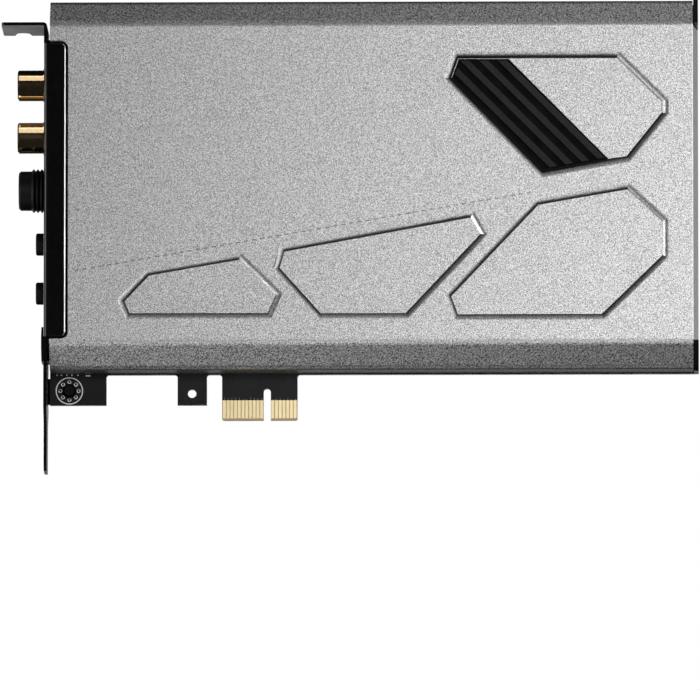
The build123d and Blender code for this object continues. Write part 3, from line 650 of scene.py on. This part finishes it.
# %% Plastic finishes
moulded = finish(
    "moulded_black", ((0.0025, 0.0025, 0.0027), (0.0050, 0.0050, 0.0053)),
    gloss=(0.42, 0.55), grain_mm=0.30, bump=0.30, shine=0.2,
)
dress(
    moulded, "end_cap", "phono_block", "headphone_jack", "line_jack", "mic_jack",
    "optical_port", "op_amp_sockets",
)
insulator = finish(
    "insulator_plastic", ((0.05, 0.05, 0.053), (0.075, 0.075, 0.08)),
    gloss=(0.35, 0.45), grain_mm=0.5, bump=0.15,
)
dress(insulator, "phono_insulator_upper", "phono_insulator_lower")

# %% [markdown]
# ## Corner seals of the optical port
# The port has two cut corners, and its opening in the bracket is square. Light would show
# through both gaps, so a wedge of the same plastic closes each. A wedge is six corners and
# five faces, which is quicker to list than to cut from a cube.

# %% Corner seals
SEAL_LEG, SEAL_OUT, SEAL_INSET, SEAL_T = 3.1 * MM, 0.24 * MM, 0.85 * MM, 0.7 * MM

corners = (
    (-SEAL_OUT, -SEAL_OUT), (SEAL_LEG + SEAL_OUT, -SEAL_OUT), (-SEAL_OUT, SEAL_LEG + SEAL_OUT)
)
port_low, port_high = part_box("optical_port")
seal = bmesh.new()
for z, way in ((port_low.z, 1), (port_high.z, -1)):
    near, far = [
        [seal.verts.new((x, port_low.y + dy, z + way * dz)) for dy, dz in corners]
        for x in (port_low.x + SEAL_INSET, port_low.x + SEAL_INSET + SEAL_T)
    ]
    seal.faces.new(near)
    seal.faces.new(far)
    for i in range(3):
        seal.faces.new((near[i], near[i - 1], far[i - 1], far[i]))
bmesh.ops.recalc_face_normals(seal, faces=seal.faces)
seal_mesh = bpy.data.meshes.new("optical_corner_seals")
seal.to_mesh(seal_mesh)
seal.free()
seal_mesh.materials.append(moulded)
seals = bpy.data.objects.new("optical_corner_seals", seal_mesh)
scene.collection.objects.link(seals)
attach(seals, "root")
print("seal faces:", len(seal_mesh.polygons))

# %% [markdown]
# ## The light window
# The window is dark ribbed plastic. The ribs are worn satin and read dark grey; the
# grooves between them lie deeper and are painted black as shade. Depth is the Y coordinate
# here, so a step on Y tells ribs from grooves, with no need to split the piece.

# %% Window finish
GROOVE_SHADE = grey(0.0006)
GROOVE_DEPTH = 0.25 * MM

ribbed = finish(
    "ribbed_window", ((0.022, 0.022, 0.023), (0.036, 0.036, 0.037)),
    gloss=(0.45, 0.58), grain_mm=0.35, bump=0.25, shine=0.1,
)
window_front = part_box("light_window")[0].y
place = axes_of(ribbed, place_of(ribbed))
groove = above(ribbed, place["Y"], window_front + GROOVE_DEPTH)
# Painted shade: the deeper grooves are made near black in the colour.
colour = blend(ribbed, groove, source_of(ribbed, "Base Color"), GROOVE_SHADE)
to_shader(ribbed, colour, "Base Color")
dress(ribbed, "light_window")

# %% [markdown]
# ## What lies under the cover
# The parts on the board are out of sight from the front, but they show when the cover is
# taken off. Each has the finish that such parts have: sleeved cans, glossy film boxes,
# pale relay cases, grey ferrite, dull epoxy chips and bright metal.

# %% Finishes under the cover
# Name: two colours, gloss, grain in millimetres, bump, metal, and the pieces that wear it.
hidden = {
    "white_mask": (
        ((0.70, 0.71, 0.70), (0.78, 0.79, 0.78)), (0.35, 0.45), 0.8, 0.1, 0.0,
        ["light_board"],
    ),
    "lamp_lens": (
        ((0.80, 0.76, 0.55), (0.90, 0.86, 0.66)), (0.10, 0.20), 0.5, 0.1, 0.0,
        ["light_diodes"],
    ),
    "nickel": (
        ((0.62, 0.61, 0.58), (0.74, 0.73, 0.70)), (0.18, 0.30), 0.4, 0.15, 1.0,
        [
            "headphone_sleeve", "headphone_contacts", "line_sleeve", "line_contacts",
            "mic_sleeve", "mic_contacts",
        ],
    ),
    "red_lens": (
        ((0.26, 0.010, 0.012), (0.38, 0.02, 0.02)), (0.08, 0.15), 0.5, 0.05, 0.0,
        ["optical_emitter"],
    ),
    "black_screw": (
        ((0.008, 0.008, 0.008), (0.016, 0.016, 0.015)), (0.28, 0.42), 0.3, 0.25, 1.0,
        ["shroud_screws", "bracket_screws"],
    ),
    "brass_bar": (
        ((0.60, 0.47, 0.22), (0.74, 0.60, 0.32)), (0.25, 0.35), 0.3, 0.2, 1.0,
        ["shroud_standoffs"],
    ),
    "epoxy_chip": (
        ((0.022, 0.022, 0.023), (0.036, 0.036, 0.037)), (0.55, 0.68), 0.25, 0.3, 0.0,
        [
            "voltage_regulators", "op_amps", "audio_processor", "bus_bridge_chip",
            "playback_converter", "record_converter", "headphone_amplifier",
        ],
    ),
    "crystal_can": (
        ((0.58, 0.58, 0.58), (0.72, 0.72, 0.72)), (0.22, 0.34), 0.4, 0.2, 1.0,
        ["clock_oscillators"],
    ),
    "ferrite": (
        ((0.10, 0.10, 0.105), (0.17, 0.17, 0.175)), (0.60, 0.75), 0.3, 0.4, 0.0,
        ["power_inductors"],
    ),
    "relay_case": (
        ((0.74, 0.74, 0.71), (0.82, 0.82, 0.79)), (0.25, 0.35), 0.7, 0.1, 0.0,
        ["output_relays"],
    ),
    "film_box": (
        ((0.42, 0.035, 0.03), (0.52, 0.05, 0.045)), (0.18, 0.28), 0.6, 0.12, 0.0,
        ["film_capacitors"],
    ),
    "can_sleeve": (
        ((0.11, 0.12, 0.17), (0.16, 0.17, 0.23)), (0.22, 0.32), 0.5, 0.12, 0.6,
        ["electrolytic_capacitors"],
    ),
}
for name, (colours, gloss, grain_mm, bump, metal, wearers) in hidden.items():
    dress(finish(name, colours, gloss, grain_mm, bump, metal), *wearers)

# %% [markdown]
# ## Where the solids are
# Some CAD pieces hold several solids, such as all the film capacitors. To put solder
# behind each one, we need each solid's own box. A CAD mesh is loose triangles, so a copy
# is merged first, and then its islands are walked one by one.

# %% Boxes of the solids in a piece
MERGE_REACH = 1e-6


def solids_of(name):
    """(lowest corner, highest corner) of each solid in a CAD piece."""
    work = bmesh.new()
    work.from_mesh(nodes[name].data)
    bmesh.ops.remove_doubles(work, verts=work.verts, dist=MERGE_REACH)
    left = set(work.verts)
    boxes = []
    while left:
        island, waiting = set(), [left.pop()]
        while waiting:
            vert = waiting.pop()
            island.add(vert)
            for link_edge in vert.link_edges:
                other = link_edge.other_vert(vert)
                if other in left:
                    left.discard(other)
                    waiting.append(other)
        corners = [[pick(v.co[i] for v in island) for i in range(3)] for pick in (min, max)]
        boxes.append(tuple(Vector(c) for c in corners))
    work.free()
    return sorted(boxes, key=lambda b: (round(b[0].x, 5), round(b[0].z, 5)))


def spots_of(name, y, across=(0,), up=(0,)):
    """Places at each solid of a piece, from offsets in millimetres about its middle."""
    places = []
    for low, high in solids_of(name):
        x, z = (low.x + high.x) / 2, (low.z + high.z) / 2
        places += [(x + dx * MM, y, z + dz * MM) for dx in across for dz in up]
    return places


board_low, board_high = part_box("circuit_board")
BOARD_FRONT, BOARD_BACK = board_low.y, board_high.y
for name in ("film_capacitors", "edge_contacts_front"):
    print(name, "solids found:", len(solids_of(name)))

# %% [markdown]
# ## Helpers for Geometry Nodes
# What repeats is made by Geometry Nodes: a tree takes a few points and sizes, puts one
# shape on each point and realizes the copies. The helper runs a tree on a mesh of bare
# points, keeps the plain mesh that comes out and drops the modifier, because copies that
# are still instances would be lost in an export. An Array modifier could repeat a shape
# in rows, but these places follow the CAD pieces and aren't in rows.

# %% Geometry Nodes helpers
SOCKET_KINDS = {tuple: "NodeSocketVector", int: "NodeSocketInt", float: "NodeSocketFloat"}


def new_tree(name, sizes):
    """An empty node tree with a geometry input, named sizes and a material."""
    tree = bpy.data.node_groups.new(name, "GeometryNodeTree")
    tree.interface.new_socket("Geometry", in_out="INPUT", socket_type="NodeSocketGeometry")
    for label, value in sizes.items():
        kind = SOCKET_KINDS[type(value)]
        tree.interface.new_socket(label, in_out="INPUT", socket_type=kind).default_value = value
    tree.interface.new_socket("Finish", in_out="INPUT", socket_type="NodeSocketMaterial")
    tree.interface.new_socket("Geometry", in_out="OUTPUT", socket_type="NodeSocketGeometry")
    return tree, tree.nodes.new("NodeGroupInput"), tree.nodes.new("NodeGroupOutput")


def link(tree, source, target):
    tree.links.new(source, target)


def close_tree(tree, shape, start, end):
    """Puts the shape on every point, realizes the copies and sets the finish."""
    spread = tree.nodes.new("GeometryNodeInstanceOnPoints")
    real = tree.nodes.new("GeometryNodeRealizeInstances")
    paint_it = tree.nodes.new("GeometryNodeSetMaterial")
    link(tree, start.outputs["Geometry"], spread.inputs["Points"])
    link(tree, shape, spread.inputs["Instance"])
    link(tree, spread.outputs["Instances"], real.inputs["Geometry"])
    link(tree, real.outputs["Geometry"], paint_it.inputs["Geometry"])
    link(tree, start.outputs["Finish"], paint_it.inputs["Material"])
    link(tree, paint_it.outputs["Geometry"], end.inputs["Geometry"])
    return spread


def turned_to_board(tree, shape):
    """Turns a shape made along Z so that it stands on the back of the board."""
    turn = tree.nodes.new("GeometryNodeTransform")
    turn.inputs["Rotation"].default_value = (math.radians(-90), 0, 0)
    link(tree, shape, turn.inputs["Geometry"])
    return turn.outputs["Geometry"]


def sweep_tree(name, outline_kind, feeds, sizes):
    """A tree that sweeps a flat section along an outline on the board."""
    tree, start, end = new_tree(name, sizes)
    outline = tree.nodes.new(outline_kind)
    section = tree.nodes.new("GeometryNodeCurvePrimitiveQuadrilateral")
    sweep = tree.nodes.new("GeometryNodeCurveToMesh")
    for label, target in feeds.items():
        link(tree, start.outputs[label], outline.inputs[target])
    for label in ("Width", "Height"):
        link(tree, start.outputs[label], section.inputs[label])
    link(tree, outline.outputs["Curve"], sweep.inputs["Curve"])
    link(tree, section.outputs["Curve"], sweep.inputs["Profile Curve"])
    close_tree(tree, turned_to_board(tree, sweep.outputs["Mesh"]), start, end)
    print(name, "nodes:", len(tree.nodes))
    return tree


def grown_piece(name, tree, points, material, slot, **sizes):
    """Runs a tree on bare points and keeps the result as one plain mesh on the card."""
    seed = bpy.data.meshes.new(name + "_points")
    seed.from_pydata([tuple(p) for p in points], [], [])
    holder = bpy.data.objects.new(name, seed)
    scene.collection.objects.link(holder)
    modifier = holder.modifiers.new("grow", "NODES")
    modifier.node_group = tree
    values = {"Finish": material, **sizes}
    for item in tree.interface.items_tree:
        if item.in_out == "INPUT" and item.name in values:
            modifier[item.identifier] = values[item.name]
    depsgraph = bpy.context.evaluated_depsgraph_get()
    mesh = bpy.data.meshes.new_from_object(holder.evaluated_get(depsgraph), depsgraph=depsgraph)
    holder.modifiers.remove(modifier)
    holder.data = mesh
    mesh.name = name
    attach(holder, "root")
    print(name, "faces:", len(mesh.polygons), "on", len(points), "points")
    return holder


# %% [markdown]
# ## Print on the board
# White ink marks the board: a ring round the foot's screw, small dots and a dash. Ink is
# a hundredth of a millimetre or two thick and slightly uneven, so the marks are thin rings
# and pads lying on the mask.

# %% Ink finish and ring tree
INK_T = 0.02 * MM
RING_R, RING_W, RING_SIDES = 3.55 * MM, 0.30 * MM, 48

ink = finish(
    "white_ink", ((0.84, 0.84, 0.82), (0.95, 0.95, 0.93)),
    gloss=(0.5, 0.65), grain_mm=0.25, bump=0.2,
)
ring_tree = sweep_tree(
    "ring_on_board", "GeometryNodeCurvePrimitiveCircle",
    {"Sides": "Resolution", "Radius": "Radius"},
    {"Radius": RING_R, "Width": RING_W, "Height": INK_T, "Sides": RING_SIDES},
)

# %% Foot ring and plated holes
HOLES, HOLE_RING_R = 8, 2.45 * MM
HOLE_R, HOLE_W, HOLE_T, HOLE_SIDES = 0.42 * MM, 0.26 * MM, 0.06 * MM, 20

foot_screw = solids_of("bracket_screws")[0]
foot_middle = (foot_screw[0] + foot_screw[1]) / 2
front, behind = BOARD_FRONT - INK_T / 2, BOARD_BACK + INK_T / 2
foot_ring = grown_piece(
    "foot_ring", ring_tree, [(foot_middle.x, front, foot_middle.z)], ink, "board"
)
turns = [2 * math.pi * i / HOLES for i in range(HOLES)]
hole_points = [
    (foot_middle.x + HOLE_RING_R * math.sin(t), front, foot_middle.z + HOLE_RING_R * math.cos(t))
    for t in turns
]
tin = finish(
    "solder_tin", ((0.50, 0.50, 0.49), (0.66, 0.66, 0.65)),
    gloss=(0.25, 0.40), grain_mm=0.4, bump=0.2, metal=1.0,
)
foot_holes = grown_piece(
    "foot_plated_holes", ring_tree, hole_points, tin, "sleeve",
    Radius=HOLE_R, Width=HOLE_W, Height=HOLE_T, Sides=HOLE_SIDES,
)

# %% [markdown]
# ## Small pads of ink and copper
# The dots above the ring, the dash beside them and the fine leads that run up from the
# gold contacts are all small blocks on points. One tree serves them: a box on each point,
# with a random stretch upwards for the leads, from a fixed seed. The print by the foot is
# brighter in the photograph than the lights on the cover make it, so it has its own light.

# %% Pad tree
LEAD_SEED = 3

pad_tree, start, end = new_tree(
    "pads_on_board", {"Size": (MM, MM, MM), "Shortest": 1.0, "Seed": LEAD_SEED}
)
cube = pad_tree.nodes.new("GeometryNodeMeshCube")
link(pad_tree, start.outputs["Size"], cube.inputs["Size"])
spread = close_tree(pad_tree, cube.outputs["Mesh"], start, end)
chance = pad_tree.nodes.new("FunctionNodeRandomValue")
chance.data_type = "FLOAT"
chance_low, chance_high = [
    s for s in chance.inputs if s.name in ("Min", "Max") and s.type == "VALUE"
]
chance_high.default_value = 1.0
link(pad_tree, start.outputs["Shortest"], chance_low)
link(pad_tree, start.outputs["Seed"], chance.inputs["Seed"])
stretch = pad_tree.nodes.new("ShaderNodeCombineXYZ")
stretch.inputs["X"].default_value = 1.0
stretch.inputs["Y"].default_value = 1.0
link(pad_tree, [s for s in chance.outputs if s.type == "VALUE"][0], stretch.inputs["Z"])
link(pad_tree, stretch.outputs["Vector"], spread.inputs["Scale"])
print("pad tree nodes:", len(pad_tree.nodes))

# %% Dots, dash and their light
DOTS_ACROSS_MM, DOTS_UP = (-3.3, -2.1, -0.7, 0.7, 2.3), 4.25 * MM
DASH_ACROSS, DASH_UP = 5.0 * MM, 4.1 * MM
DOT_SIZE = (0.42 * MM, INK_T, 0.32 * MM)
DASH_SIZE = (1.3 * MM, INK_T, 0.35 * MM)

dots_z = foot_middle.z + DOTS_UP
dot_points = [(foot_middle.x + x * MM, front, dots_z) for x in DOTS_ACROSS_MM]
dash_point = (foot_middle.x + DASH_ACROSS, front, foot_middle.z + DASH_UP)
foot_dots = grown_piece("foot_dots", pad_tree, dot_points, ink, "board", Size=DOT_SIZE)
foot_dash = grown_piece("foot_dash", pad_tree, [dash_point], ink, "board", Size=DASH_SIZE)
print_only = lit_group("print_only", [foot_ring, foot_holes, foot_dots, foot_dash], "INCLUDE")
soft_light("print_light", (0.05, -0.90, 0.10), (0.30, 0.30), 1.6, print_only)

# %% Contact leads
LEAD_SIZE, LEAD_SHORTEST = (0.2 * MM, INK_T, 1.7 * MM), 0.2

lead = finish(
    "lead_copper", ((0.10, 0.08, 0.05), (0.16, 0.13, 0.09)),
    gloss=(0.35, 0.45), grain_mm=0.3, bump=0.1,
)
for side, y in (("front", front), ("back", behind)):
    contacts = solids_of("edge_contacts_" + side)
    grown_piece(
        "contact_leads_" + side, pad_tree,
        [((low.x + high.x) / 2, y, high.z) for low, high in contacts],
        lead, "board", Size=LEAD_SIZE, Shortest=LEAD_SHORTEST,
    )

# %% [markdown]
# ## Solder on the back
# Every part with legs goes through the board, and on the back each leg ends in a small
# cone of solder with the tip of the leg standing out. The places come from the boxes of
# the parts: two joints behind each leaf and each capacitor, eight behind a relay.

# %% Solder joint tree
PAD_R, LEG_R, JOINT_H = 0.85 * MM, 0.3 * MM, 0.5 * MM
CONE_SIDES, LEG_SIDES = 14, 8
LEG_TO_JOINT = 2.6

joint_tree, start, end = new_tree(
    "solder_joint", {"Pad Radius": PAD_R, "Leg Radius": LEG_R, "Height": JOINT_H}
)
cone = joint_tree.nodes.new("GeometryNodeMeshCone")
cone.inputs["Vertices"].default_value = CONE_SIDES
leg = joint_tree.nodes.new("GeometryNodeMeshCylinder")
leg.inputs["Vertices"].default_value = LEG_SIDES
both = joint_tree.nodes.new("GeometryNodeJoinGeometry")
longer = joint_tree.nodes.new("ShaderNodeMath")
longer.operation = "MULTIPLY"
longer.inputs[1].default_value = LEG_TO_JOINT
link(joint_tree, start.outputs["Pad Radius"], cone.inputs["Radius Bottom"])
link(joint_tree, start.outputs["Leg Radius"], cone.inputs["Radius Top"])
link(joint_tree, start.outputs["Height"], cone.inputs["Depth"])
link(joint_tree, start.outputs["Leg Radius"], leg.inputs["Radius"])
link(joint_tree, start.outputs["Height"], longer.inputs[0])
link(joint_tree, longer.outputs[0], leg.inputs["Depth"])
link(joint_tree, cone.outputs["Mesh"], both.inputs["Geometry"])
link(joint_tree, leg.outputs["Mesh"], both.inputs["Geometry"])
close_tree(joint_tree, turned_to_board(joint_tree, both.outputs["Geometry"]), start, end)
print("joint tree nodes:", len(joint_tree.nodes))

# %% Solder joints
joint_points = []
for name, across, up in (
    ("headphone_contacts", (0,), (-4.6, 4.6)),
    ("line_contacts", (0,), (-3.4, 3.4)),
    ("mic_contacts", (0,), (-3.4, 3.4)),
    ("electrolytic_capacitors", (-1.75, 1.75), (0,)),
    ("film_capacitors", (0,), (-2.5, 2.5)),
    ("output_relays", (-3.8, -1.3, 1.3, 3.8), (-2.5, 2.5)),
    ("op_amp_sockets", (-3.81, -1.27, 1.27, 3.81), (0,)),
    ("optical_port", (2.0, 4.6), (-2.54, 0, 2.54)),
    ("phono_block", (2.5,), (-10.5, -3.6, 3.6, 10.5)),
):
    joint_points += spots_of(name, BOARD_BACK, across, up)
grown_piece("solder_joints", joint_tree, joint_points, tin, "sleeve")

# %% [markdown]
# ## Small parts and outlines on the back
# Next to the amplifier chips and regulators sit rows of tiny resistors and capacitors. A
# small block with two tinned ends is enough at this size, and the pad tree makes both.
# Thin white frames mark where the relays, chips and capacitors are, as on any board.

# %% Small parts
PART_SIZE = (1.05 * MM, 0.5 * MM, 1.5 * MM)
END_SIZE = (1.15 * MM, 0.54 * MM, 0.38 * MM)

ceramic = finish(
    "small_ceramic", ((0.20, 0.14, 0.085), (0.30, 0.21, 0.13)),
    gloss=(0.4, 0.5), grain_mm=0.3, bump=0.15,
)
resistor = finish(
    "resistor_glaze", ((0.012, 0.012, 0.014), (0.02, 0.02, 0.022)),
    gloss=(0.25, 0.35), grain_mm=0.3, bump=0.1,
)
rows = {"ceramic": [], "resistor": []}
part_middle = BOARD_BACK + PART_SIZE[1] / 2
for kind, source, across, up in (
    ("ceramic", "op_amps", (-5.5, -3.9, 3.9, 5.5), (-8.6, 8.6)),
    ("resistor", "op_amps", (-2.2, -0.6, 1.0, 2.6), (-8.6, 8.6)),
    ("ceramic", "voltage_regulators", (-3.2, -1.6, 1.6, 3.2), (-6.0, 6.0)),
    ("resistor", "power_inductors", (-2.4, 0, 2.4), (-6.4,)),
    ("ceramic", "audio_processor", (-9, -6, -3, 0, 3, 6, 9), (-9.5, 7.0)),
    ("resistor", "playback_converter", (-4.4, -2.7, -1.0, 0.7, 2.4, 4.1), (-5.6, 5.6)),
):
    rows[kind] += spots_of(source, part_middle, across, up)
for kind, material in (("ceramic", ceramic), ("resistor", resistor)):
    name = "small_" + kind
    ends = [(x, y, z + way * PART_SIZE[2] / 2) for x, y, z in rows[kind] for way in (-1, 1)]
    grown_piece(name + "s", pad_tree, rows[kind], material, "chip", Size=PART_SIZE)
    grown_piece(name + "_ends", pad_tree, ends, tin, "sleeve", Size=END_SIZE)

# %% Ink outlines on the back
OUTLINE_W, CAN_SIDES = 0.18 * MM, 40

frame_tree = sweep_tree(
    "frame_on_board", "GeometryNodeCurvePrimitiveQuadrilateral",
    {"Across": "Width", "Up": "Height"},
    {"Across": MM, "Up": MM, "Width": OUTLINE_W, "Height": INK_T},
)
for name in ("output_relays", "op_amps", "film_capacitors"):
    low, high = solids_of(name)[0]
    size = high - low
    grown_piece(
        "outline_" + name, frame_tree, spots_of(name, behind), ink, "board",
        Across=size.x, Up=size.z,
    )
low, high = solids_of("electrolytic_capacitors")[0]
grown_piece(
    "outline_cans", ring_tree, spots_of("electrolytic_capacitors", behind), ink, "board",
    Radius=(high.x - low.x) / 2, Width=OUTLINE_W, Sides=CAN_SIDES,
)
